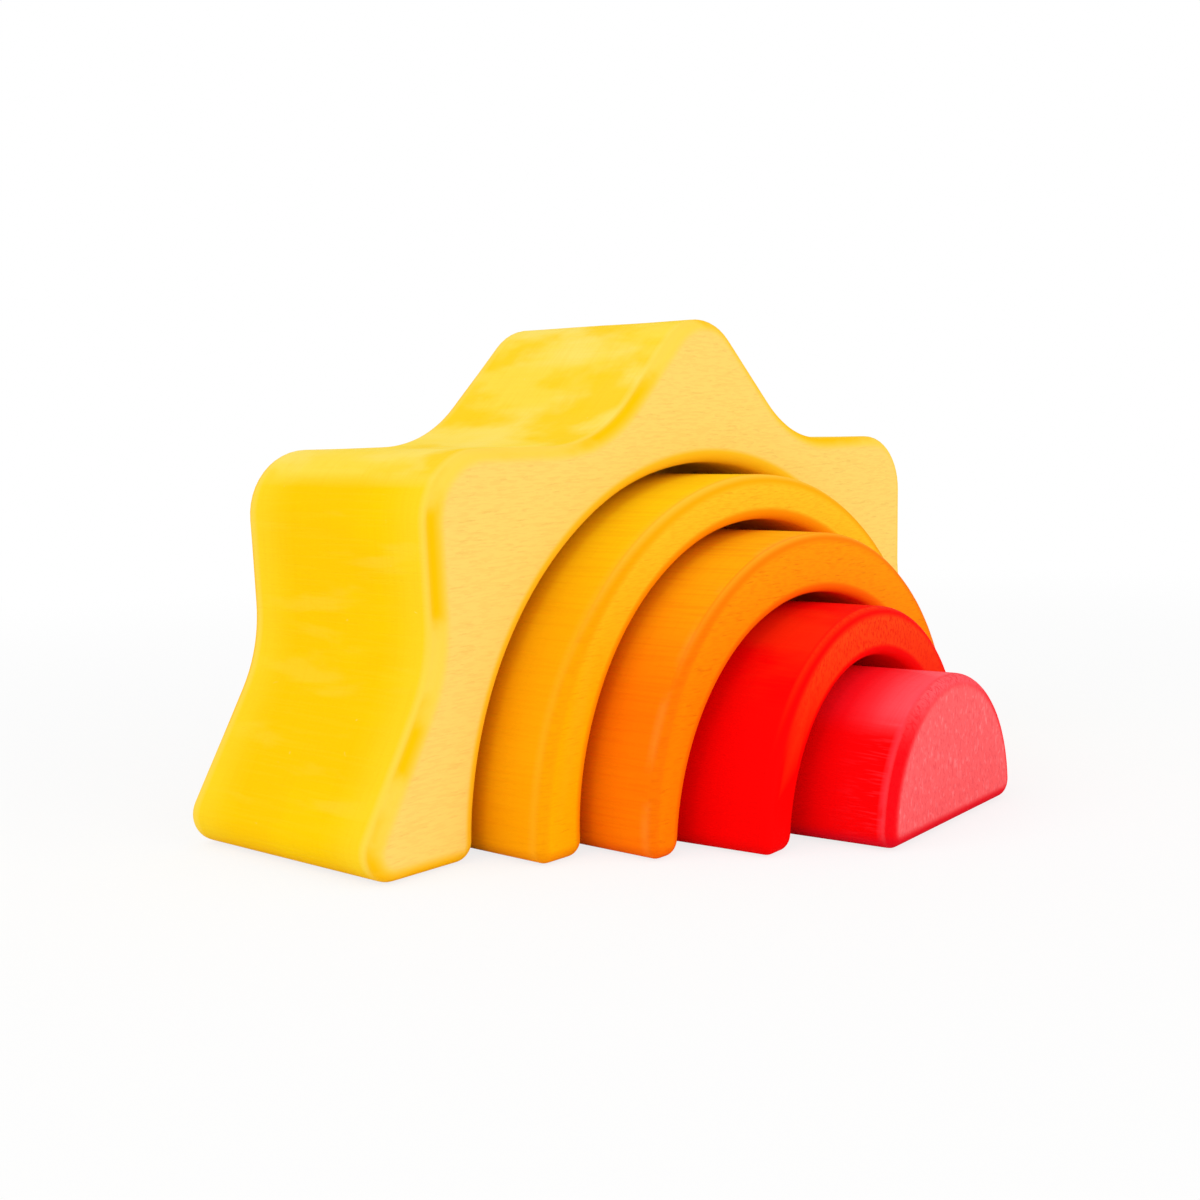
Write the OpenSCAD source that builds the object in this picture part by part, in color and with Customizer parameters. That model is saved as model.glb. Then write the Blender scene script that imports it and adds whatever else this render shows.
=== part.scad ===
// Sun stacker: a five-rayed half sun with an arched tunnel, three arches that nest in it
// and a solid half-round core. All five stand on the same flat base and fan out to the front,
// the red arch and the core in it a little askew.
// X runs across the arches, Y runs through the tunnels with the front at -Y, Z is up.

/* [Board] */
// Thickness of the board that every piece is sawn from
depth = 50; // [30:1:80]
// Gap between each piece and the tunnel that it nests in
play = 2.25; // [1.5:0.25:3]

/* [Sun] */
// Distance from the middle to the sharp corner of a foot, before rounding
foot_reach = 88.5; // [84:0.5:97]
// Rounding of the tip of a foot
foot_r = 5; // [4.5:0.5:7.5]
// Low valley, between a foot and a side ray: distance from the middle
low_valley_x = 69.5; // [67:0.5:74]
// Low valley: height above the base
low_valley_z = 33; // [30:0.5:38]
// Side ray: distance of its sharp corner from the middle
side_ray_x = 70.5; // [67:0.5:76]
// Side ray: height of its sharp corner
side_ray_z = 68; // [65:0.5:72]
// High valley, between a side ray and the top ray: distance from the middle
high_valley_x = 29; // [26:0.5:34]
// High valley: height above the base
high_valley_z = 68; // [66:0.5:72]
// Height of the sharp corner of the top ray
top_ray_z = 96; // [92:0.5:104]
// Rounding in the valleys
valley_r = 28; // [16:1:30]
// Rounding of the ray tips
tip_r = 12; // [8:0.5:13]
// Roundover along the outer edges of the sun
sun_edge = 2.5; // [1.5:0.5:4]
// Half the width of the sun's tunnel at the base
tunnel_half = 63; // [59:0.5:65]
// Height of the sun's tunnel
tunnel_rise = 64; // [60:0.5:65.5]
// Roundover round the mouths of the sun's tunnel
mouth_edge = 2.5; // [1.5:0.5:4]

/* [Arches] */
// Amber arch: thickness of its legs at the base
amber_leg = 10.5; // [9:0.5:12]
// Amber arch: thickness at its crown
amber_crown = 8.5; // [7:0.5:11]
// Orange arch: thickness of its legs at the base
orange_leg = 7; // [6.5:0.5:9]
// Orange arch: thickness at its crown
orange_crown = 11; // [9:0.5:12]
// Red arch: thickness of its legs at the base
red_leg = 8.5; // [7:0.5:10]
// Red arch: thickness at its crown
red_crown = 9; // [7:0.5:11]
// Red arch: room at each side of it, on top of the play
red_slack = 0.75; // [0:0.25:2]
// Core: room at each side of it, on top of the play
core_slack = 2.75; // [0:0.25:4]
// Roundover along the edges of the arches and the core
arch_edge = 2; // [1:0.5:2.5]
// Rounding of the corners of the feet, where they meet the base
heel_r = 2.5; // [1:0.5:3]

/* [Fanned out] */
// How far the amber arch stands out of the front of the sun
amber_out = 12.5; // [5:0.5:45]
// How far the orange arch stands out of the front of the amber arch
orange_out = 13; // [5:0.5:45]
// How far the red arch stands out of the front of the orange arch
red_out = 11; // [5:0.5:45]
// How far the core stands out of the front of the red arch
core_out = 16; // [5:0.5:45]
// How far the red arch, with the core in it, is turned askew: at 1 its corners would touch the orange arch
askew = 0.7; // [0:0.05:0.7]

/* [Hidden] */
$fn = 96;

// Over-length of a cutter past the face that it cuts
past = 1;
// Radius of a roundover's arc for each millimetre of its width: above 1, so the band has crisp borders
arc_ratio = 1.25;
// Turn that puts the seam of a round shape below the base, where it is cut away
seam = -90;
// Flats round each corner of the sun, and across its roundover
corner_facets = 10;
edge_facets = 4;

// Each opening is [half-span, rise] at the base, and each piece is the opening round it less the play and slack
function inside(outer, leg, crown) = [outer[0] - leg, outer[1] - crown];
function fitted(opening, slack = 0) = [opening[0] - play - slack, opening[1] - play];
sun_opening = [tunnel_half, tunnel_rise];
amber_outer = fitted(sun_opening);
amber_opening = inside(amber_outer, amber_leg, amber_crown);
orange_outer = fitted(amber_opening);
orange_opening = inside(orange_outer, orange_leg, orange_crown);
red_outer = fitted(orange_opening, red_slack);
red_opening = inside(red_outer, red_leg, red_crown);
core_outer = fitted(red_opening, core_slack);

// Turn of the red arch and the core
turn = asin(askew * (play + red_slack) / (depth / 2));
// Reach of the core's turned front corner from the core's own middle
core_reach = depth / 2 * cos(turn) + (core_outer[0] - arch_edge) * sin(turn);

// Middle of each piece along Y, with the fanned-out set centred on the origin
fan_length = depth / 2 + amber_out + orange_out + red_out + core_out * cos(turn) + core_reach;
sun_y = (fan_length - depth) / 2;
amber_y = sun_y - amber_out;
orange_y = amber_y - orange_out;
red_y = orange_y - red_out;

// Circle through both feet and the crown of an arc
function arc_r(arc) = (arc[0] * arc[0] + arc[1] * arc[1]) / (2 * arc[1]);
function arc_z(arc) = arc[1] - arc_r(arc);

// Depth of a roundover's centre under both faces, and the angle at which its arc leaves them
function band_middle(edge) = edge * (0.5 + sqrt((arc_ratio * arc_ratio - 0.5) / 2));
function band_angle(edge) = acos(band_middle(edge) / (arc_ratio * edge));

// Corner to be rounded over: the material lies at -x and -y of the origin, and this shape is cut away
module roundover(edge) {
    middle = band_middle(edge);
    translate([-middle, -middle]) difference() {
        square(middle + past);
        circle(arc_ratio * edge);
    }
}

// Half section of a disc whose two rims are rounded over
module disc_section(radius, edge) {
    difference() {
        translate([0, -depth / 2]) square([radius, depth]);
        for (side = [0, 1]) mirror([0, side]) translate([radius, depth / 2]) roundover(edge);
    }
}

// Round block along Y, with its rim rounded over at the front and the back
module puck(arc, edge) {
    translate([0, 0, arc_z(arc)]) rotate([90, 0, 0]) rotate(seam) rotate_extrude()
        disc_section(arc_r(arc), edge);
}

// Cutter for a tunnel along Y, flared at both mouths by the roundover
module tunnel(arc, edge) {
    radius = arc_r(arc);
    translate([0, 0, arc_z(arc)]) rotate([90, 0, 0]) rotate(seam) rotate_extrude() {
        translate([0, -depth / 2 - past]) square([radius, depth + 2 * past]);
        for (side = [0, 1]) mirror([0, side]) translate([radius, depth / 2]) mirror([1, 0]) roundover(edge);
    }
}

// Everything below the base, and the front and back edges of the feet
module below_base(reach, edge) {
    translate([-reach, -depth, -reach]) cube([2 * reach, 2 * depth, reach]);
    for (side = [0, 1]) mirror([0, side, 0])
        translate([-reach, depth / 2, 0]) rotate([90, 0, 90]) linear_extrude(2 * reach)
            mirror([0, 1]) roundover(edge);
}

// Rounding of the two heels at a half-span: of an outer wall, or of the tunnel inside it
module heels(half_span, in_tunnel) {
    for (side = [0, 1]) mirror([side, 0, 0])
        translate([half_span, depth / 2 + past, 0]) rotate([90, 0, 0]) linear_extrude(depth + 2 * past)
            mirror([in_tunnel ? 1 : 0, 0]) mirror([0, 1]) roundover(heel_r);
}

// Arch between an outer arc and its own opening
module arch(outer, opening) {
    difference() {
        puck(outer, arch_edge);
        tunnel(opening, arch_edge);
        below_base(outer[0] + outer[1], arch_edge);
        heels(outer[0], false);
        heels(opening[0], true);
    }
}

// Outline of the sun: [x, z, rounding] of each corner, anticlockwise from the right foot
sun_half = [
    [foot_reach, 0, foot_r],
    [low_valley_x, low_valley_z, valley_r],
    [side_ray_x, side_ray_z, tip_r],
    [high_valley_x, high_valley_z, valley_r],
];
sun_corners = concat(
    sun_half,
    [[0, top_ray_z, tip_r]],
    [for (i = [len(sun_half) - 1:-1:0]) [-sun_half[i][0], sun_half[i][1], sun_half[i][2]]]
);
function after(i) = (i + 1) % len(sun_corners);
function before(i) = (i + len(sun_corners) - 1) % len(sun_corners);
function point(i) = [sun_corners[i][0], sun_corners[i][1]];
function rounding(i) = sun_corners[i][2];
function unit(v) = v / norm(v);
// Direction from one corner to another
function way(i, j) = unit(point(j) - point(i));
// Half the angle between the two sides that meet at a corner
function half_angle(i) = acos(way(i, before(i)) * way(i, after(i))) / 2;
function is_ray(i) = cross(way(before(i), i), way(i, after(i))) > 0;
// Centre of a corner's rounding, which lies inside a ray and outside a valley
function centre(i) =
    point(i) + unit(way(i, before(i)) + way(i, after(i))) * rounding(i) / sin(half_angle(i));
// Outward direction of the side that runs from corner i to the next one
function side_normal(i) = [way(i, after(i))[1], -way(i, after(i))[0]];

// Rounding of one corner as [point, outward normal] pairs, turning from the side before it to the side after it
function corner_steps(i) = [
    for (k = [0:corner_facets])
        let (
            blend = k / corner_facets,
            half = 90 - half_angle(i),
            weight_before = sin((1 - blend) * 2 * half),
            weight_after = sin(blend * 2 * half),
            normal = unit(side_normal(before(i)) * weight_before + side_normal(i) * weight_after),
            reach = is_ray(i) ? rounding(i) : -rounding(i)
        )
        [centre(i) + normal * reach, normal]
];
sun_outline = [for (i = [0:len(sun_corners) - 1]) each corner_steps(i)];

// Rounded-over section of the sun's rim as [inset, y] steps from the front face to the back face
front_steps = [
    for (k = [0:edge_facets])
        let (angle = 90 - band_angle(sun_edge) - k / edge_facets * (90 - 2 * band_angle(sun_edge)))
        [
            band_middle(sun_edge) - arc_ratio * sun_edge * cos(angle),
            -depth / 2 + band_middle(sun_edge) - arc_ratio * sun_edge * sin(angle),
        ]
];
rim_steps = concat(front_steps, [for (k = [edge_facets:-1:0]) [front_steps[k][0], -front_steps[k][1]]]);

// Half sun with its five rays, before the tunnel is cut
module sun_block() {
    count = len(sun_outline);
    last = len(rim_steps) - 1;
    points = [
        for (step = rim_steps, spot = sun_outline)
            let (flat = spot[0] - spot[1] * step[0]) [flat[0], step[1], flat[1]]
    ];
    walls = [
        for (r = [0:last - 1], j = [0:count - 1])
            let (a = r * count + j, b = r * count + (j + 1) % count)
            each [[a, b, b + count], [a, b + count, a + count]]
    ];
    front = [[for (j = [count - 1:-1:0]) j]];
    back = [[for (j = [0:count - 1]) last * count + j]];
    polyhedron(points, concat(front, walls, back));
}

module sun() {
    color("gold") translate([0, sun_y, 0]) difference() {
        sun_block();
        tunnel(sun_opening, mouth_edge);
        heels(sun_opening[0], true);
    }
}

module amber_arch() {
    color("orange") translate([0, amber_y, 0]) arch(amber_outer, amber_opening);
}

module orange_arch() {
    color("darkorange") translate([0, orange_y, 0]) arch(orange_outer, orange_opening);
}

module red_arch() {
    color("red") translate([0, red_y, 0]) rotate(turn) arch(red_outer, red_opening);
}

module core() {
    color("crimson") translate([0, red_y, 0]) rotate(turn) translate([0, -core_out, 0]) difference() {
        puck(core_outer, arch_edge);
        below_base(core_outer[0] + core_outer[1], arch_edge);
        heels(core_outer[0], false);
    }
}

sun();
amber_arch();
orange_arch();
red_arch();
core();
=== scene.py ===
"""Looks of the sun stacker: five stained wooden blocks that nest in each other.

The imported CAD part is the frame. Each block is modelled again with sanded edges, rides on its
CAD body and stands for its CAD node. Blocks are drawn in millimetres and placed in metres.
"""

import logging
import math
from dataclasses import dataclass
from enum import Enum
from typing import Any, Dict, List, Optional, Sequence, Tuple, Union

import bmesh
import bpy
from mathutils import Matrix, Vector, noise


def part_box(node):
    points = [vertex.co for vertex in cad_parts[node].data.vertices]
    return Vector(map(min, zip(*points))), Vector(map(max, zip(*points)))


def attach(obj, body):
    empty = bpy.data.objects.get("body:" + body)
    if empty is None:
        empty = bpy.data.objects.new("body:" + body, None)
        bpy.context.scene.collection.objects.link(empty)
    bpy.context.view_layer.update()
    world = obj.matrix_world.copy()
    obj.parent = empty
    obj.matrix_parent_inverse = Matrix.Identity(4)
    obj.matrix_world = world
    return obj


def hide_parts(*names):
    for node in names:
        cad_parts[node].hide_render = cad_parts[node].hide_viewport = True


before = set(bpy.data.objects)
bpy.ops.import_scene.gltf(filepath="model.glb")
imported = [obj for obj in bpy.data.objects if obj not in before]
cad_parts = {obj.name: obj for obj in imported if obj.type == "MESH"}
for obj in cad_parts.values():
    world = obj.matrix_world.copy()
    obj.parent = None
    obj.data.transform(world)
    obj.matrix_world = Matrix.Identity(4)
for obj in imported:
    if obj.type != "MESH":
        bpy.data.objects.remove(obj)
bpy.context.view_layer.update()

LOG = logging.getLogger("sun_stacker")

# Metres in a millimetre, and millimetres in a metre
MM = 0.001
PER_METRE = 1000.0

# Image side that the camera is computed for, in pixels, and the camera's sensor width in millimetres
IMAGE_SIDE = 1200.0
SENSOR = 36.0

# Room between each block and the tunnel that it nests in, in millimetres
PLAY = 2.25
# Angle about Z at which the red arch and the core stand askew, in degrees
ASKEW = 4.82

# Two points of an outline that are closer than this are one, in millimetres
SAME_POINT = 0.01
# An edge that changes its depth by less than this runs along a rim, in millimetres
SAME_DEPTH = 1e-4
# A point that is closer than this to a cut lies on it, in millimetres
ON_CUT = 1e-5

# Vertex colours that hold the zones: how far over a rim a point is, and how its surface lies
EDGE_ZONES = "edge_zones"
LIE_ZONES = "lie_zones"

Size3 = Tuple[float, float, float]
Colour = Tuple[float, float, float, float]
Range = Tuple[float, float]
Socket = bpy.types.NodeSocket

WHITE: Colour = (1.0, 1.0, 1.0, 1.0)


def linear(code: str) -> Colour:
    """Turn an sRGB hex colour into linear light.

    Args:
        code: Six hex digits, red, green and blue.

    Returns:
        Linear red, green and blue, with full alpha.
    """
    shares = [int(code[k:k + 2], 16) / 255 for k in (0, 2, 4)]
    light = [s / 12.92 if s <= 0.04045 else ((s + 0.055) / 1.055) ** 2.4 for s in shares]
    return light[0], light[1], light[2], 1.0


def add(tree: bpy.types.NodeTree, kind: str, links: Optional[Dict[Union[str, int], Any]] = None,
        **settings: Any) -> bpy.types.Node:
    """Add a node with its settings and links.

    Args:
        tree: Node tree that takes the node.
        kind: Blender's name for the kind of node.
        links: Value or linked socket for each input, by name or number.
        settings: Properties of the node.

    Returns:
        The new node.
    """
    node = tree.nodes.new(kind)
    for name, value in settings.items():
        setattr(node, name, value)
    for key, value in (links or {}).items():
        if isinstance(value, Socket):
            tree.links.new(value, node.inputs[key])
        else:
            node.inputs[key].default_value = value
    return node


def ease(low: float, high: float, value: float) -> float:
    """Rise smoothly from 0 at low to 1 at high."""
    share = min(1.0, max(0.0, (value - low) / (high - low)))
    return share * share * (3 - 2 * share)


class Zone(Enum):
    """Part of a block's surface that a stain treats in its own way.

    Attributes:
        WALL: The sawn walls, outside and in the tunnel.
        FACE: The flat front and back of the board.
        RIM: The roundover between a wall and a face.
        RIDGE: Border of a roundover with its wall, where the stain is rubbed thin and a highlight is
            painted along the border.
        MOUTH: The tunnel's wall and the lip of its roundover, deeper from stain and painted shade.
        TOP: Walls that look up, where several stains also paint light from above.
        BASE_SHADE: The lowest few millimetres, next to the base, where shade is painted in.
        NEAR: Walls close to the front and the back.
        CREST: Roundovers that look up, where the tints paint a highlight from above.
        HIGH: Upper part of the faces, where the tints also paint light from above.
        FLANK: Roundovers below the summit.
    """

    WALL = "wall"
    FACE = "face"
    RIM = "rim"
    RIDGE = "ridge"
    MOUTH = "mouth"
    TOP = "top"
    BASE_SHADE = "base_shade"
    NEAR = "near"
    CREST = "crest"
    HIGH = "high"
    FLANK = "flank"


@dataclass(frozen=True)
class Marks:
    """Marks that a tool, a brush or the grain leaves, as a noise pattern.

    Attributes:
        size: Length of a mark along X, Y and Z, in millimetres.
        start: Noise value at which a mark begins to show.
        full: Noise value at which it shows fully.
        detail: Finer layers of the noise.
        warp: How much the noise is distorted.
    """

    size: Size3
    start: float
    full: float
    detail: float = 2.0
    warp: float = 0.0

    def lay(self, tree: bpy.types.NodeTree, place: Socket) -> Socket:
        """Lay the marks on a surface.

        Args:
            tree: The material's node tree.
            place: Position on the block, in millimetres.

        Returns:
            Socket that is 1 on a mark and 0 off it.
        """
        scale = tuple(1 / length for length in self.size)
        spot = add(tree, "ShaderNodeVectorMath", {0: place, 1: scale}, operation="MULTIPLY")
        pattern = add(tree, "ShaderNodeTexNoise", {
            "Vector": spot.outputs[0], "Scale": 1.0, "Detail": self.detail, "Distortion": self.warp})
        shown = add(tree, "ShaderNodeMapRange", {
            "Value": pattern.outputs["Fac"], "From Min": self.start, "From Max": self.full},
            interpolation_type="SMOOTHSTEP")
        return shown.outputs["Result"]


@dataclass(frozen=True)
class Layer:
    """One layer of colour in a zone, all over it or where its marks are: a tint of the stain, and in
    some layers painted light and shade.

    Attributes:
        colour: The tint, as sRGB hex digits.
        zone: Where it lies.
        strength: How much of it covers what lies below.
        marks: Marks that it keeps to.
        focus: How closely it keeps to the middle of its zone: 1 fills the zone, more narrows it.
        also: Second zone that it keeps to.
    """

    colour: str
    zone: Zone
    strength: float
    marks: Optional[Marks] = None
    focus: float = 1.0
    also: Optional[Zone] = None


# Lines that the saw leaves across the sawn walls, about half a millimetre apart
SAW_LINES = Marks((0.5, 20.0, 0.5), 0.44, 0.66)
# Sanding scratches that run round the outline, across the saw lines
SANDING = Marks((9.0, 0.5, 9.0), 0.46, 0.68)
# Fine grain of the wood on the faces of the board: short dashes along its length
GRAIN = Marks((2.2, 2.0, 0.3), 0.44, 0.62, detail=3.0)
# Pores of the wood on the faces: fewer and longer than the grain
PORES = Marks((3.4, 3.0, 0.4), 0.6, 0.7, detail=3.0)
# Soft clouds where the wood took up more or less of the stain
CLOUDS = Marks((16.0, 30.0, 16.0), 0.42, 0.66, detail=3.0, warp=0.2)
# Broad strokes of a brush or cloth along Y
STROKES = Marks((5.0, 30.0, 5.0), 0.54, 0.7, detail=4.0, warp=0.3)
# Blots where the stain was put on twice
BLOTS = Marks((13.0, 24.0, 13.0), 0.44, 0.62, detail=4.0, warp=0.1)
# Dabs of stain along the rounded edges
DABS = Marks((11.0, 11.0, 11.0), 0.38, 0.56, detail=5.0, warp=0.3)
# Long smears of stain along the edges of the largest block
SMEARS = Marks((24.0, 24.0, 24.0), 0.44, 0.58, detail=5.0, warp=0.2)
# Thin streaks that a nearly dry brush leaves along Y
STREAKS = Marks((0.4, 9.0, 0.4), 0.5, 0.68, detail=3.0)
# Small spots that were rubbed bare
FLECKS = Marks((3.2, 2.2, 1.4), 0.74, 0.82, detail=2.0, warp=0.6)
# Fine raised grain of thickly stained faces, which stands upright
SPECKS = Marks((0.4, 0.7, 0.9), 0.44, 0.66, detail=4.0, warp=0.6)
# Paler fibres between that grain
FLOCKS = Marks((0.7, 1.1, 1.4), 0.52, 0.72, detail=4.0, warp=0.6)


@dataclass(frozen=True)
class Stain:
    """Water stain on sanded beech.

    The stain soaks into the wood, so the surface stays matt, the grain and the saw lines show
    through, and the colour is deeper on rounded edges and paler where the wood is dense.
    Some layers also paint light and shade: highlights on what looks up and along the borders
    of the roundovers, and shade along the base and in the tunnel.

    Attributes:
        name: Name of the material.
        wall: Colour of the sawn walls, which the tints of the layers lie on.
        layers: Tints from the lowest to the topmost.
        shift: Offset of the patterns, so that no two blocks have the same marks, in millimetres.
        roughness: Roughness of the surface.
        gloss: Specular level, low on raw stained wood.
        cut: Depth of the saw lines and pores, in millimetres.
        relief: How strongly they show.
        drop: How close to the summit the flanks reach: more brings them closer.
    """

    name: str
    wall: str
    layers: Tuple[Layer, ...]
    shift: Size3
    roughness: float = 0.72
    gloss: float = 0.03
    cut: float = 0.06
    relief: float = 0.35
    drop: float = 4.0

    def material(self, middle: float) -> bpy.types.Material:
        """Make the material for a block.

        Args:
            middle: Y of the block's middle, in millimetres, which the patterns are centred on.

        Returns:
            The node material.
        """
        material = bpy.data.materials.new(self.name)
        material.use_nodes = True
        tree = material.node_tree
        tree.nodes.clear()
        coords = add(tree, "ShaderNodeTexCoord")
        offset = (self.shift[0], self.shift[1] - middle, self.shift[2])
        place = add(tree, "ShaderNodeMapping", {
            "Vector": coords.outputs["Object"], "Location": offset,
            "Scale": (PER_METRE,) * 3}).outputs[0]
        zones = self.zones(tree)
        shader = add(tree, "ShaderNodeBsdfPrincipled", {
            "Base Color": self.tints(tree, place, zones), "Normal": self.cuts(tree, place, zones),
            "Roughness": self.roughness, "Specular IOR Level": self.gloss})
        add(tree, "ShaderNodeOutputMaterial", {"Surface": shader.outputs[0]})
        return material

    def tints(self, tree: bpy.types.NodeTree, place: Socket, zones: Dict[Zone, Socket]) -> Socket:
        """Lay the tints over each other.

        Args:
            tree: The material's node tree.
            place: Position on the block, in millimetres.
            zones: Socket for each zone.

        Returns:
            Socket of the colour.
        """
        colour: Any = linear(self.wall)
        for layer in self.layers:
            share: Any = layer.strength
            factors = [zones[layer.zone]]
            if layer.focus != 1.0:
                narrow = add(tree, "ShaderNodeMath", {0: zones[layer.zone], 1: layer.focus},
                             operation="POWER")
                factors = [narrow.outputs[0]]
            if layer.also is not None:
                factors.append(zones[layer.also])
            if layer.marks is not None:
                factors.append(layer.marks.lay(tree, place))
            for factor in factors:
                share = add(tree, "ShaderNodeMath", {0: factor, 1: share},
                            operation="MULTIPLY").outputs[0]
            colour = add(tree, "ShaderNodeMix", {0: share, 6: colour, 7: linear(layer.colour)},
                         data_type="RGBA").outputs[2]
        return colour

    def cuts(self, tree: bpy.types.NodeTree, place: Socket, zones: Dict[Zone, Socket]) -> Socket:
        """Cut the saw lines into the walls and the pores into the faces.

        Args:
            tree: The material's node tree.
            place: Position on the block, in millimetres.
            zones: Socket for each zone.

        Returns:
            Socket of the surface's normal.
        """
        saw = add(tree, "ShaderNodeMath", {0: SAW_LINES.lay(tree, place), 1: zones[Zone.WALL]},
                  operation="MULTIPLY")
        pores = add(tree, "ShaderNodeMath", {0: PORES.lay(tree, place), 1: zones[Zone.FACE]},
                    operation="MULTIPLY")
        both = add(tree, "ShaderNodeMath", {0: saw.outputs[0], 1: pores.outputs[0]}, operation="ADD")
        bump = add(tree, "ShaderNodeBump", {
            "Height": both.outputs[0], "Strength": self.relief, "Distance": self.cut * MM}, invert=True)
        return bump.outputs[0]

    def zones(self, tree: bpy.types.NodeTree) -> Dict[Zone, Socket]:
        """Read the painted zones of a block.

        Args:
            tree: The material's node tree.

        Returns:
            Socket for each zone, 1 inside it and 0 outside.
        """
        edge = add(tree, "ShaderNodeAttribute", attribute_name=EDGE_ZONES)
        edge_parts = add(tree, "ShaderNodeSeparateColor", {0: edge.outputs["Color"]})
        lie = add(tree, "ShaderNodeAttribute", attribute_name=LIE_ZONES)
        lie_parts = add(tree, "ShaderNodeSeparateColor", {0: lie.outputs["Color"]})
        off_wall = add(tree, "ShaderNodeMath", {0: edge_parts.outputs[0], 1: edge_parts.outputs[1]},
                       operation="ADD", use_clamp=True)
        wall = add(tree, "ShaderNodeMath", {0: 1.0, 1: off_wall.outputs[0]}, operation="SUBTRACT")
        up = lie_parts.outputs[0]
        # Walls and roundovers that look up, where several stains paint the light from above
        top = add(tree, "ShaderNodeMath", {0: up, 1: wall.outputs[0]}, operation="MULTIPLY")
        crest = add(tree, "ShaderNodeMath", {0: up, 1: edge_parts.outputs[1]}, operation="MULTIPLY")
        height = lie.outputs["Alpha"]
        # Upper faces, which the tints paint lighter as light from above
        high = add(tree, "ShaderNodeMath", {0: height, 1: edge_parts.outputs[0]}, operation="MULTIPLY")
        lofty = add(tree, "ShaderNodeMath", {0: height, 1: self.drop}, operation="POWER")
        low = add(tree, "ShaderNodeMath", {0: 1.0, 1: lofty.outputs[0]}, operation="SUBTRACT")
        flank = add(tree, "ShaderNodeMath", {0: low.outputs[0], 1: edge_parts.outputs[1]},
                    operation="MULTIPLY")
        return {
            Zone.WALL: wall.outputs[0],
            Zone.FACE: edge_parts.outputs[0],
            Zone.RIM: edge_parts.outputs[1],
            Zone.RIDGE: edge_parts.outputs[2],
            Zone.MOUTH: edge.outputs["Alpha"],
            Zone.TOP: top.outputs[0],
            Zone.BASE_SHADE: lie_parts.outputs[1],
            Zone.NEAR: lie_parts.outputs[2],
            Zone.CREST: crest.outputs[0],
            Zone.HIGH: high.outputs[0],
            Zone.FLANK: flank.outputs[0],
        }


# Yellow stain on beech: pale faces that show the grain, blots on top and smears along warm rims
YELLOW = Stain(
    "yellow_stained_beech", "FFCC00",
    (
        Layer("FFD600", Zone.WALL, 0.6, CLOUDS),
        Layer("FFDA44", Zone.WALL, 0.28, STROKES),
        Layer("FFDC2C", Zone.NEAR, 0.6),
        # Walls that look up: paler from thinner stain and painted light from above, with pale clouds and
        # deeper blots of stain
        Layer("FFE04C", Zone.TOP, 0.9),
        Layer("FFE880", Zone.TOP, 0.5, CLOUDS),
        Layer("FFD20C", Zone.TOP, 0.85, BLOTS),
        Layer("FFDA28", Zone.WALL, 0.1, SAW_LINES),
        Layer("F4BA00", Zone.WALL, 0.08, SANDING),
        Layer("FFE68A", Zone.WALL, 0.3, FLECKS),
        Layer("FFDA6E", Zone.FACE, 1.0),
        Layer("F4C45C", Zone.FACE, 0.3, GRAIN),
        Layer("E2AC52", Zone.FACE, 0.22, PORES),
        Layer("FFD450", Zone.RIM, 0.9),
        Layer("FFC400", Zone.RIM, 1.0, SMEARS, focus=1.2),
        # Pale line along the border of the roundover: rubbed stain and painted highlight
        Layer("FFDE68", Zone.RIDGE, 0.4),
        # Deeper tunnel and lip: stain, with painted shade of the tunnel
        Layer("FFC81A", Zone.MOUTH, 0.9),
        # Painted shade along the base
        Layer("FFBE00", Zone.BASE_SHADE, 0.6),
    ),
    (211.0, 6.0, 83.0),
)
# Amber stain on beech: fine saw lines across the walls, deeper rims on the legs, and a crown that
# painted light from above makes yellower
AMBER = Stain(
    "amber_stained_beech", "FFA800",
    (
        Layer("FFB20A", Zone.WALL, 0.4, CLOUDS),
        # Painted light from above on the walls that look up
        Layer("FFD00C", Zone.TOP, 0.9, focus=1.3),
        Layer("F29400", Zone.WALL, 0.16, SAW_LINES),
        Layer("F29200", Zone.WALL, 0.06, SANDING),
        Layer("FFB600", Zone.FACE, 1.0),
        # Painted light from above on the upper faces
        Layer("FFCC28", Zone.HIGH, 0.9),
        Layer("F2A000", Zone.FACE, 0.25, GRAIN),
        Layer("E08A00", Zone.FACE, 0.25, PORES),
        Layer("FFAE00", Zone.RIM, 0.8),
        Layer("F89C00", Zone.FLANK, 0.6),
        Layer("EE9000", Zone.FLANK, 0.4, GRAIN),
        # Painted highlight on the roundovers that look up
        Layer("FFC83C", Zone.CREST, 0.9, focus=1.3),
        # Pale line along the border of the roundover: rubbed stain and painted highlight
        Layer("FFBE34", Zone.RIDGE, 0.2),
        # Deeper tunnel and lip: stain, with painted shade of the tunnel
        Layer("FF9800", Zone.MOUTH, 0.8),
        # Painted shade along the base
        Layer("F29000", Zone.BASE_SHADE, 0.4),
    ),
    (31.0, 5.0, 17.0),
)
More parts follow.
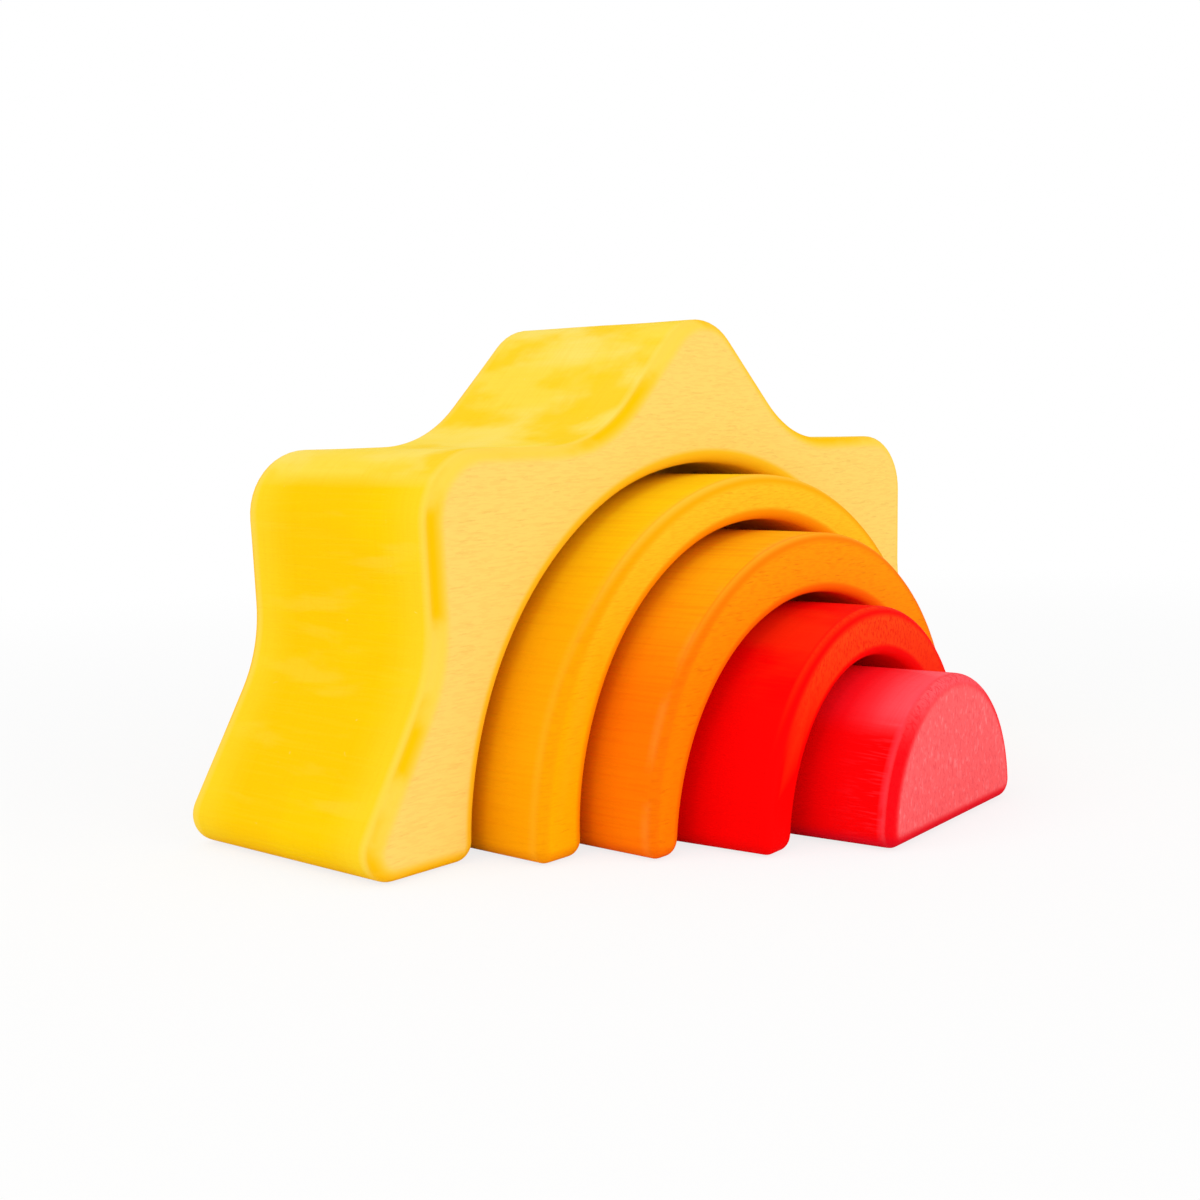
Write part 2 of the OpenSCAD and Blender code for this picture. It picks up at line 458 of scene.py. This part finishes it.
# Orange stain on beech: saw lines and pores show, with a crown paled by painted light from above, and
# borders rubbed thin under a painted highlight
ORANGE = Stain(
    "orange_stained_beech", "FF7C00",
    (
        Layer("FF8600", Zone.WALL, 0.5, CLOUDS),
        # Painted light from above on the walls that look up
        Layer("FFB208", Zone.TOP, 0.95, focus=1.3),
        Layer("F06000", Zone.WALL, 0.18, SAW_LINES),
        Layer("F06200", Zone.WALL, 0.06, SANDING),
        Layer("FF8800", Zone.FACE, 1.0),
        # Painted light from above on the upper faces
        Layer("FFA006", Zone.HIGH, 0.9),
        Layer("F27400", Zone.FACE, 0.3, GRAIN),
        Layer("E06000", Zone.FACE, 0.35, PORES),
        Layer("FF8000", Zone.RIM, 0.8),
        Layer("F87000", Zone.FLANK, 0.5),
        Layer("EC6400", Zone.FLANK, 0.4, GRAIN),
        # Painted highlight on the roundovers that look up
        Layer("FFAC1E", Zone.CREST, 0.9, focus=1.3),
        Layer("E87800", Zone.CREST, 0.4, PORES),
        # Pale line along the border of the roundover: rubbed stain and painted highlight
        Layer("FFA440", Zone.RIDGE, 0.22, DABS),
        # Deeper tunnel and lip: stain, with painted shade of the tunnel
        Layer("FF7000", Zone.MOUTH, 0.8),
        # Painted shade along the base
        Layer("F06000", Zone.BASE_SHADE, 0.4),
    ),
    (67.0, 9.0, 29.0),
)
# Red stain on beech: full and even on the walls, speckled by raised grain round the crown
RED = Stain(
    "red_stained_beech", "FC0000",
    (
        # Orange patches on the walls that look up: brush strokes of stain, with a painted sheen
        Layer("FF3408", Zone.TOP, 0.6, CLOUDS, focus=3.0),
        Layer("FF3808", Zone.TOP, 0.15, SAW_LINES, focus=3.0),
        Layer("EC0000", Zone.WALL, 0.1, SANDING),
        Layer("FF0000", Zone.FACE, 1.0),
        # Orange-red upper faces: stain, with painted light from above
        Layer("FF4A12", Zone.HIGH, 0.95),
        Layer("EE0A00", Zone.HIGH, 0.8, SPECKS),
        Layer("FF0000", Zone.RIM, 0.9),
        # Painted highlight, orange-red, on the roundovers that look up
        Layer("FF420E", Zone.CREST, 0.7, focus=1.5),
        Layer("EE0800", Zone.CREST, 0.7, SPECKS),
        # Deeper tunnel and lip: stain, with painted shade of the tunnel
        Layer("FA0000", Zone.MOUTH, 0.9),
        # Painted shade along the base
        Layer("E60000", Zone.BASE_SHADE, 0.4),
    ),
    (101.0, 13.0, 43.0),
)
# Rose-red stain on beech: red walls, and pink faces and rims where it lies thin on raised grain
ROSE = Stain(
    "rose_stained_beech", "FC0004",
    (
        Layer("FF3A48", Zone.NEAR, 0.24, STREAKS),
        Layer("FF1424", Zone.TOP, 0.8),
        Layer("FF5864", Zone.TOP, 0.9, also=Zone.NEAR),
        Layer("FF7480", Zone.TOP, 0.6, STROKES, also=Zone.NEAR),
        Layer("EC0006", Zone.WALL, 0.1, SANDING),
        Layer("FF6466", Zone.FACE, 1.0),
        Layer("EC4C54", Zone.FACE, 0.55, SPECKS),
        Layer("FF9092", Zone.FACE, 0.5, FLOCKS),
        Layer("FF5C64", Zone.RIM, 0.95),
        Layer("F0303C", Zone.RIM, 0.7, SPECKS),
        Layer("F6000E", Zone.FLANK, 0.97),
        # Pale line along the border of the roundover: rubbed stain and painted highlight
        Layer("FF4858", Zone.RIDGE, 0.4, DABS),
        # Painted shade along the base
        Layer("D80824", Zone.BASE_SHADE, 0.8),
    ),
    (143.0, 21.0, 59.0),
)


@dataclass(frozen=True)
class Corner:
    """Corner of an outline, with the radius that rounds it."""

    x: float
    z: float
    radius: float

    @property
    def point(self) -> Vector:
        """The sharp corner in the XZ plane."""
        return Vector((self.x, 0.0, self.z))

    def mirrored(self) -> "Corner":
        """The same corner on the other side of the middle plane."""
        return Corner(-self.x, self.z, self.radius)


@dataclass(frozen=True)
class Span:
    """Arc over the base, by half its width at the base and its rise."""

    half: float
    rise: float

    @property
    def radius(self) -> float:
        """Radius of the arc."""
        return (self.half ** 2 + self.rise ** 2) / (2 * self.rise)

    @property
    def centre(self) -> Vector:
        """Centre of the arc."""
        return Vector((0.0, 0.0, self.rise - self.radius))

    def less(self, half: float, rise: float) -> "Span":
        """The arc inside this one, by how much less it spans and rises."""
        return Span(self.half - half, self.rise - rise)

    def heel(self, radius: float) -> Vector:
        """Centre of the rounding at the right heel.

        Args:
            radius: Radius of the rounding: positive inside the arc, negative in the wall outside it.

        Returns:
            The centre, at the height of the rounding's radius.
        """
        lift = abs(radius) - self.centre.z
        return Vector((math.sqrt((self.radius - radius) ** 2 - lift ** 2), 0.0, abs(radius)))

    def off(self, point: Vector) -> float:
        """Distance of a point outside the arc, negative inside it."""
        return math.hypot(point.x, point.z - self.centre.z) - self.radius


@dataclass
class Pencil:
    """Draws a closed outline in the XZ plane, seen from the front with X to the right and Z up.

    Attributes:
        mesh: Mesh that takes the outline.
        tip: Vertex that the pencil stands on.
        pitch: Greatest distance between two points of a straight run or a wide arc.
        fineness: Angle between two points of a tight arc, in radians.
    """

    mesh: bmesh.types.BMesh
    tip: bmesh.types.BMVert
    pitch: float = 1.6
    fineness: float = math.radians(9)

    @classmethod
    def at(cls, mesh: bmesh.types.BMesh, x: float) -> "Pencil":
        """Set a pencil down on the base."""
        return cls(mesh, mesh.verts.new((x, 0.0, 0.0)))

    def run(self, end: Vector) -> None:
        """Draw a straight run to a point."""
        start = self.tip.co.copy()
        steps = max(1, round((end - start).length / self.pitch))
        for step in range(1, steps + 1):
            self.tip = bmesh.ops.extrude_vert_indiv(self.mesh, verts=[self.tip])["verts"][0]
            self.tip.co = start.lerp(end, step / steps)

    def arc(self, centre: Vector, angle: float) -> None:
        """Draw an arc round a centre.

        Args:
            centre: Centre of the arc.
            angle: Angle in radians, positive to the left.
        """
        length = abs(angle) * (self.tip.co - centre).length
        steps = max(2, round(length / self.pitch), math.ceil(abs(angle) / self.fineness))
        made = bmesh.ops.spin(self.mesh, geom=[self.tip], cent=centre, axis=(0, -1, 0), angle=angle,
                              steps=steps, use_merge=False, use_duplicate=False)
        self.tip = next(part for part in made["geom_last"] if isinstance(part, bmesh.types.BMVert))

    def follow(self, corners: Sequence[Corner], end: Vector) -> None:
        """Draw straight runs to an end, with a rounding at each corner on the way.

        Args:
            corners: Corners in the order in which they are passed.
            end: Where the last run stops.
        """
        stops = [self.tip.co.copy()] + [corner.point for corner in corners] + [end]
        for before, corner, after in zip(stops, corners, stops[2:]):
            inward = (corner.point - before).normalized()
            onward = (after - corner.point).normalized()
            turn = math.atan2(inward.x * onward.z - inward.z * onward.x, inward.dot(onward))
            start = corner.point - inward * corner.radius * math.tan(abs(turn) / 2)
            left = Vector((-inward.z, 0.0, inward.x))
            self.run(start)
            self.arc(start + left * math.copysign(corner.radius, turn), turn)
        self.run(end)

    def over(self, span: Span, radius: float) -> None:
        """Draw an outer arc from its right heel over to its left heel."""
        heel = span.heel(radius)
        slope = math.atan2(heel.z - span.centre.z, heel.x)
        self.arc(heel, math.pi / 2 + slope)
        self.arc(span.centre, math.pi - 2 * slope)
        self.arc(Vector((-heel.x, 0.0, heel.z)), math.pi / 2 + slope)

    def under(self, span: Span, radius: float) -> None:
        """Draw a tunnel from its left heel over to its right heel."""
        heel = span.heel(-radius)
        slope = math.atan2(heel.z - span.centre.z, heel.x)
        self.arc(Vector((-heel.x, 0.0, heel.z)), math.pi / 2 - slope)
        self.arc(span.centre, 2 * slope - math.pi)
        self.arc(heel, math.pi / 2 - slope)


@dataclass
class Block:
    """One block, sawn from a board along an outline, rounded over and sanded.

    Attributes:
        name: Name of its CAD node and body.
        slot: Name of its material slot, not used.
        stain: Its finish.
        turn: Angle about Z at which it stands, in degrees.
        depth: Thickness of the board.
        edge: Radius of the roundover along its front and back rims.
        heel: Radius at the heels, where the walls meet the base.
        facets: Number of faces across the roundover.
        strips: Number of strips that a wall is cut into between its roundovers.
        ring: Width of the ring of faces next to a border of the roundover, which keeps the border crisp.
        wave: How far sanding by hand leaves the walls off true.
        wave_length: Length of the swells that sanding leaves.
        wave_foot: Height below which they fade out towards the flat base.
        ridge_reach: How far from the border of the roundover the pale line reaches: rubbed stain and
            painted highlight.
        start: Share of the roundover's width at which the tint of the rim is full.
        blend: Share of the roundover's width at which the tint of the face begins.
        lip: Share of the roundover's radius up to which the tint of the tunnel, stain with painted
            shade, is full.
        near: How far past the roundover the tint near the front and the back reaches.
        base_shade: Heights at which the painted shade along the base begins to fade, and at which it
            ends.
        high: Shares of the block's height at which the high tint begins, and at which it is full.
        brow: Upward share of the normal at which a wall begins to be the top, and at which it is.
    """

    name: str
    slot: str
    stain: Stain
    turn: float = 0.0
    depth: float = 50.0
    edge: float = 2.5
    heel: float = 3.4
    facets: int = 8
    strips: int = 12
    ring: float = 0.4
    wave: float = 0.12
    wave_length: float = 17.0
    wave_foot: float = 6.0
    ridge_reach: float = 1.3
    start: float = 0.25
    blend: float = 0.6
    lip: float = 0.8
    near: float = 11.0
    base_shade: Range = (0.4, 3.2)
    high: Range = (0.35, 0.95)
    brow: Range = (0.35, 1.0)

    @property
    def place(self) -> Vector:
        """Middle of the block's CAD node, on the base and in millimetres."""
        low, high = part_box(self.name)
        middle = (low + high) / 2 * PER_METRE
        return Vector((middle.x, middle.y, 0.0))

    def outline(self, mesh: bmesh.types.BMesh) -> None:
        """Draw the outline in the XZ plane."""
        raise NotImplementedError

    def mouth(self) -> Optional[Span]:
        """The block's tunnel, if it has one."""
        return None

    def nest(self, slack: float = 0.0) -> Span:
        """Size a block to the tunnel.

        Args:
            slack: Room at each side of that block, on top of the play.

        Returns:
            The outer arc of the block that nests in the tunnel.
        """
        tunnel = self.mouth()
        if tunnel is None:
            raise ValueError(f"{self.name} has no tunnel")
        return tunnel.less(PLAY + slack, PLAY)

    def build(self) -> bpy.types.Object:
        """Model the block.

        Returns:
            The block's object, in its place.
        """
        mesh = bmesh.new()
        for name in (EDGE_ZONES, LIE_ZONES):
            mesh.verts.layers.float_color.new(name)
        self.outline(mesh)
        bmesh.ops.remove_doubles(mesh, verts=mesh.verts[:], dist=SAME_POINT)
        bmesh.ops.edgeloop_fill(mesh, edges=mesh.edges[:])
        self.saw(mesh)
        rings = self.round_over(mesh)
        self.paint(mesh, rings)
        self.sand(mesh)
        bmesh.ops.translate(mesh, verts=mesh.verts[:], vec=(0.0, -self.depth / 2, 0.0))
        bmesh.ops.rotate(mesh, verts=mesh.verts[:], cent=(0.0, 0.0, 0.0),
                         matrix=Matrix.Rotation(math.radians(self.turn), 3, "Z"))
        bmesh.ops.translate(mesh, verts=mesh.verts[:], vec=self.place)
        bmesh.ops.scale(mesh, verts=mesh.verts[:], vec=(MM,) * 3)
        data = bpy.data.meshes.new(self.name + "_block")
        mesh.to_mesh(data)
        mesh.free()
        data.polygons.foreach_set("use_smooth", [True] * len(data.polygons))
        block = bpy.data.objects.new(self.name + "_block", data)
        bpy.context.scene.collection.objects.link(block)
        return block

    def saw(self, mesh: bmesh.types.BMesh) -> None:
        """Saw the outline through the thickness of the board."""
        made = bmesh.ops.extrude_face_region(mesh, geom=mesh.faces[:])
        moved = [part for part in made["geom"] if isinstance(part, bmesh.types.BMVert)]
        bmesh.ops.translate(mesh, verts=moved, vec=(0.0, self.depth, 0.0))
        bmesh.ops.holes_fill(mesh, edges=[edge for edge in mesh.edges if edge.is_boundary])
        bmesh.ops.recalc_face_normals(mesh, faces=mesh.faces[:])

    def round_over(self, mesh: bmesh.types.BMesh) -> Dict[bmesh.types.BMVert, float]:
        """Round over both rims, and add loops along the borders of the roundover.

        Args:
            mesh: The sawn block.

        Returns:
            Distance of each vertex of the two faces from the border of the roundover.
        """
        rims = [edge for edge in mesh.edges
                if abs(edge.verts[0].co.y - edge.verts[1].co.y) < SAME_DEPTH]
        bmesh.ops.bevel(mesh, geom=rims, offset=self.edge, offset_type="OFFSET", segments=self.facets,
                        profile=0.5, affect="EDGES", clamp_overlap=False, material=-1)
        # The front and the back of the board are the two faces with the most corners
        faces = sorted(mesh.faces, key=lambda face: len(face.verts))[-2:]
        rings: Dict[bmesh.types.BMVert, float] = {}
        for face in faces:
            made = bmesh.ops.inset_region(mesh, faces=[face], thickness=self.ring, use_even_offset=True,
                                          use_boundary=True)
            rings.update((vert, 0.0) for quad in made["faces"] for vert in quad.verts)
            rings.update((vert, self.ring) for vert in face.verts)
        wall = self.depth - 2 * self.edge
        loops = [self.edge + self.ring, self.depth - self.edge - self.ring]
        loops += [self.edge + self.ridge_reach, self.depth - self.edge - self.ridge_reach]
        loops += [self.edge + wall * k / self.strips for k in range(1, self.strips)]
        for y in loops:
            bmesh.ops.bisect_plane(mesh, geom=mesh.verts[:] + mesh.edges[:] + mesh.faces[:], dist=ON_CUT,
                                   plane_co=(0.0, y, 0.0), plane_no=(0.0, 1.0, 0.0))
        return rings

    def paint(self, mesh: bmesh.types.BMesh, rings: Dict[bmesh.types.BMVert, float]) -> None:
        """Paint the zones that the stain reads.

        Args:
            mesh: The rounded-over block.
            rings: Distance of each vertex of the two faces from the border of the roundover.
        """
        mesh.normal_update()
        edge_zones = mesh.verts.layers.float_color[EDGE_ZONES]
        lie_zones = mesh.verts.layers.float_color[LIE_ZONES]
        band = self.edge * math.pi / 2
        summit = max(vert.co.z for vert in mesh.verts)
        mouth = self.mouth()
        for vert in mesh.verts:
            sunk = min(vert.co.y, self.depth - vert.co.y)
            if vert in rings:
                across = band + rings[vert]
            else:
                across = self.edge * math.asin(min(1.0, max(0.0, 1 - sunk / self.edge)))
            face = ease(self.blend * band, band + self.ring, across)
            rim = ease(0.0, self.start * band, across) * (1 - face)
            # Pale line along the border of the roundover: rubbed stain and painted highlight
            ridge = 1 - ease(0.0, self.ridge_reach, across + max(0.0, sunk - self.edge))
            inner = 0.0
            if mouth is not None:
                # Tunnel wall and lip: deeper stain, with painted shade of the tunnel
                inner = 1 - ease(self.lip * self.edge, self.edge + self.ring, mouth.off(vert.co))
            up = ease(*self.brow, vert.normal.z)
            # Painted shade along the base, darker towards the floor
            base_shade = 1 - ease(*self.base_shade, vert.co.z)
            near = 1 - ease(self.edge, self.edge + self.near, sunk) if across < band else 0.0
            high = ease(*self.high, vert.co.z / summit)
            vert[edge_zones] = (face, rim, ridge, inner)
            vert[lie_zones] = (up, base_shade, near, high)

    def sand(self, mesh: bmesh.types.BMesh) -> None:
        """Leave the walls a little off true, as sanding by hand does, and the base flat."""
        for vert in mesh.verts:
            off = noise.noise((vert.co + Vector(self.stain.shift)) / self.wave_length) * self.wave
            lean = Vector((vert.normal.x, 0.0, vert.normal.z))
            vert.co += lean * off * ease(0.0, self.wave_foot, vert.co.z)

    def dress(self, block: bpy.types.Object) -> None:
        """Stain the block and put it in the frame."""
        block.data.materials.append(self.stain.material(self.place.y))
        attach(block, self.name)
        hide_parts(self.name)


@dataclass
class Sun(Block):
    """Half sun with five rays and a tunnel.

    Attributes:
        opening: Arc of the tunnel.
        foot: Corner of a foot.
        low_valley: Corner between a foot and a side ray.
        side_ray: Tip of a side ray.
        high_valley: Corner between a side ray and the top ray.
        top_ray: Tip of the top ray.
    """

    opening: Span = Span(63.0, 64.0)
    foot: Corner = Corner(88.5, 0.0, 5.0)
    low_valley: Corner = Corner(69.5, 33.0, 28.0)
    side_ray: Corner = Corner(70.5, 68.0, 12.0)
    high_valley: Corner = Corner(29.0, 68.0, 28.0)
    top_ray: Corner = Corner(0.0, 96.0, 12.0)

    def outline(self, mesh: bmesh.types.BMesh) -> None:
        """Draw the rays from the right foot to the left one, then the tunnel."""
        inner = self.opening.heel(-self.heel).x
        right = [self.foot, self.low_valley, self.side_ray, self.high_valley]
        left = [corner.mirrored() for corner in reversed(right)]
        pencil = Pencil.at(mesh, inner)
        pencil.follow(right + [self.top_ray] + left, Vector((-inner, 0.0, 0.0)))
        pencil.under(self.opening, self.heel)

    def mouth(self) -> Span:
        """The sun's tunnel."""
        return self.opening


@dataclass(kw_only=True)
class Arch(Block):
    """Arch between an outer arc and its own tunnel.

    Attributes:
        outer: Arc of its outer wall.
        leg: Thickness of its legs at the base.
        crown: Thickness at its crown.
        heel: Radius at the heels, smaller on the slimmer legs.
    """

    outer: Span
    leg: float
    crown: float
    heel: float = 2.8

    def outline(self, mesh: bmesh.types.BMesh) -> None:
        """Draw the outer arc from right to left, then the tunnel."""
        opening = self.mouth()
        right = self.outer.heel(self.heel).x
        pencil = Pencil.at(mesh, right)
        pencil.over(self.outer, self.heel)
        pencil.run(Vector((-opening.heel(-self.heel).x, 0.0, 0.0)))
        pencil.under(opening, self.heel)
        pencil.run(Vector((right, 0.0, 0.0)))

    def mouth(self) -> Span:
        """The arch's tunnel."""
        return self.outer.less(self.leg, self.crown)


@dataclass(kw_only=True)
class Core(Block):
    """Solid half-round block.

    Attributes:
        outer: Arc of its wall.
    """

    outer: Span

    def outline(self, mesh: bmesh.types.BMesh) -> None:
        """Draw the arc from right to left, then the base."""
        right = self.outer.heel(self.heel).x
        pencil = Pencil.at(mesh, right)
        pencil.over(self.outer, self.heel)
        pencil.run(Vector((right, 0.0, 0.0)))


@dataclass(frozen=True)
class Studio:
    """Pale floor, soft light and the camera at the photograph's viewing angle.

    Attributes:
        eye: Place of the camera, in millimetres.
        yaw: Angle of its view from +Y towards +X, in degrees.
        pitch: Angle of its view below the horizon, in degrees.
        roll: Tilt of the picture, in degrees.
        focal: Focal length, in pixels of the image.
        middle_x: Column of the image that the optical axis meets.
        nearest: Nearest distance that the camera sees, in metres.
        dome: Brightness of the light from all round.
        key: Power of the large lamp above the left side, in watts.
        key_place: Place of that lamp, in metres.
        fill: Power of the lamp in front, in watts.
        fill_place: Place of that lamp, in metres.
        lamp_size: Side of each lamp, in metres.
        floor_half: Half the side of the floor, in metres.
        floor_gap: How far the floor lies below the blocks, in millimetres.
        veil: Share of plain white over the floor's shadow close to the blocks.
        shadow_near: Distance from the middle up to which that share holds, in metres.
        shadow_far: Distance from which the floor is plain white, in metres.
    """

    eye: Size3 = (-239.5, -190.5, 71.3)
    yaw: float = 51.44
    pitch: float = 6.32
    roll: float = -1.06
    focal: float = 1590.3
    middle_x: float = 717.8
    nearest: float = 0.01
    dome: float = 0.7
    key: float = 3.4
    key_place: Size3 = (-0.8, 0.15, 0.75)
    fill: float = 3.4
    fill_place: Size3 = (0.1, -1.0, 0.4)
    lamp_size: float = 0.9
    floor_half: float = 3.0
    floor_gap: float = 0.2
    veil: float = 0.8
    shadow_near: float = 0.16
    shadow_far: float = 0.5

    def camera(self) -> None:
        """Set up the camera."""
        yaw, pitch, roll = (math.radians(angle) for angle in (self.yaw, self.pitch, self.roll))
        ahead = Vector((math.sin(yaw) * math.cos(pitch), math.cos(yaw) * math.cos(pitch),
                        -math.sin(pitch)))
        level = Vector((math.cos(yaw), -math.sin(yaw), 0.0))
        upright = level.cross(ahead)
        across = level * math.cos(roll) + upright * math.sin(roll)
        up = upright * math.cos(roll) - level * math.sin(roll)
        lens = bpy.data.cameras.new("camera")
        lens.sensor_width = SENSOR
        lens.lens = SENSOR * self.focal / IMAGE_SIDE
        lens.shift_x = (IMAGE_SIDE / 2 - self.middle_x) / IMAGE_SIDE
        lens.clip_start = self.nearest
        camera = bpy.data.objects.new("camera", lens)
        turned = Matrix((across, up, -ahead)).transposed().to_4x4()
        camera.matrix_world = Matrix.Translation(Vector(self.eye) * MM) @ turned
        bpy.context.scene.collection.objects.link(camera)
        bpy.context.scene.camera = camera

    @staticmethod
    def seen(tree: bpy.types.NodeTree) -> Socket:
        """Tell the rays that show the background from those that light the object.

        Args:
            tree: Node tree of the world or of the floor.

        Returns:
            Socket that is 1 for camera, glossy and transmission rays.
        """
        path = add(tree, "ShaderNodeLightPath")
        shown = path.outputs["Is Camera Ray"]
        for kind in ("Is Glossy Ray", "Is Transmission Ray"):
            shown = add(tree, "ShaderNodeMath", {0: shown, 1: path.outputs[kind]},
                        operation="ADD", use_clamp=True).outputs[0]
        return shown

    def lights(self) -> None:
        """Set up the dome of light and the two lamps."""
        world = bpy.data.worlds.new("studio")
        world.use_nodes = True
        bpy.context.scene.world = world
        tree = world.node_tree
        tree.nodes.clear()
        light = add(tree, "ShaderNodeBackground", {"Color": WHITE, "Strength": self.dome})
        white = add(tree, "ShaderNodeBackground", {"Color": WHITE, "Strength": 1.0})
        mixed = add(tree, "ShaderNodeMixShader", {
            0: self.seen(tree), 1: light.outputs[0], 2: white.outputs[0]})
        add(tree, "ShaderNodeOutputWorld", {"Surface": mixed.outputs[0]})
        lamps = (("key", self.key, self.key_place), ("fill", self.fill, self.fill_place))
        for name, power, spot in lamps:
            lamp = bpy.data.lights.new(name, "AREA")
            lamp.energy = power
            lamp.size = self.lamp_size
            stand = bpy.data.objects.new(name, lamp)
            place = Vector(spot)
            turned = place.to_track_quat("Z", "Y").to_matrix().to_4x4()
            stand.matrix_world = Matrix.Translation(place) @ turned
            bpy.context.scene.collection.objects.link(stand)

    def floor(self) -> None:
        """Lay a white floor that shows as the background and keeps a faint shadow."""
        mesh = bmesh.new()
        bmesh.ops.create_grid(mesh, x_segments=1, y_segments=1, size=self.floor_half)
        bmesh.ops.translate(mesh, verts=mesh.verts[:], vec=(0.0, 0.0, -self.floor_gap * MM))
        data = bpy.data.meshes.new("floor")
        mesh.to_mesh(data)
        mesh.free()
        material = bpy.data.materials.new("white_paper")
        material.use_nodes = True
        tree = material.node_tree
        tree.nodes.clear()
        paper = add(tree, "ShaderNodeBsdfDiffuse", {"Color": linear("FAFAFA")})
        white = add(tree, "ShaderNodeEmission", {"Color": WHITE, "Strength": 1.0})
        coords = add(tree, "ShaderNodeTexCoord")
        away = add(tree, "ShaderNodeVectorMath", {0: coords.outputs["Object"]}, operation="LENGTH")
        plain = add(tree, "ShaderNodeMapRange", {
            "Value": away.outputs["Value"], "From Min": self.shadow_near, "From Max": self.shadow_far,
            "To Min": self.veil, "To Max": 1.0}, interpolation_type="SMOOTHSTEP")
        share = add(tree, "ShaderNodeMath", {0: self.seen(tree), 1: plain.outputs["Result"]},
                    operation="MULTIPLY")
        mixed = add(tree, "ShaderNodeMixShader", {
            0: share.outputs[0], 1: paper.outputs[0], 2: white.outputs[0]})
        add(tree, "ShaderNodeOutputMaterial", {"Surface": mixed.outputs[0]})
        data.materials.append(material)
        floor = bpy.data.objects.new("floor", data)
        bpy.context.scene.collection.objects.link(floor)

    def build(self) -> None:
        """Set up the whole studio."""
        bpy.context.scene.view_settings.view_transform = "Standard"
        self.camera()
        self.lights()
        self.floor()


def blocks() -> List[Block]:
    """List the blocks of the set, each sized to the tunnel of the one before it.

    Returns:
        The blocks from the largest to the smallest.
    """
    sun = Sun("sun", "yellow_stain", YELLOW, blend=0.45, brow=(0.5, 0.74))
    amber = Arch("amber_arch", "amber_stain", AMBER, edge=2.0,
                 outer=sun.nest(), leg=10.5, crown=8.5)
    orange = Arch("orange_arch", "orange_stain", ORANGE, edge=1.7,
                  outer=amber.nest(), leg=7.0, crown=11.0)
    red = Arch("red_arch", "red_stain", RED, ASKEW, edge=1.8,
               outer=orange.nest(slack=0.75), leg=8.5, crown=9.0)
    core = Core("core", "rose_stain", ROSE, ASKEW, edge=2.2, ridge_reach=0.9, blend=0.7, brow=(0.64, 0.84),
                outer=red.nest(slack=2.75))
    return [sun, amber, orange, red, core]


def main() -> None:
    """Build the studio and every block."""
    logging.basicConfig(level=logging.INFO, format="%(message)s")
    Studio().build()
    for block in blocks():
        made = block.build()
        block.dress(made)
        LOG.info("%s: %d faces", made.name, len(made.data.polygons))


if __name__ == "__main__":
    main()
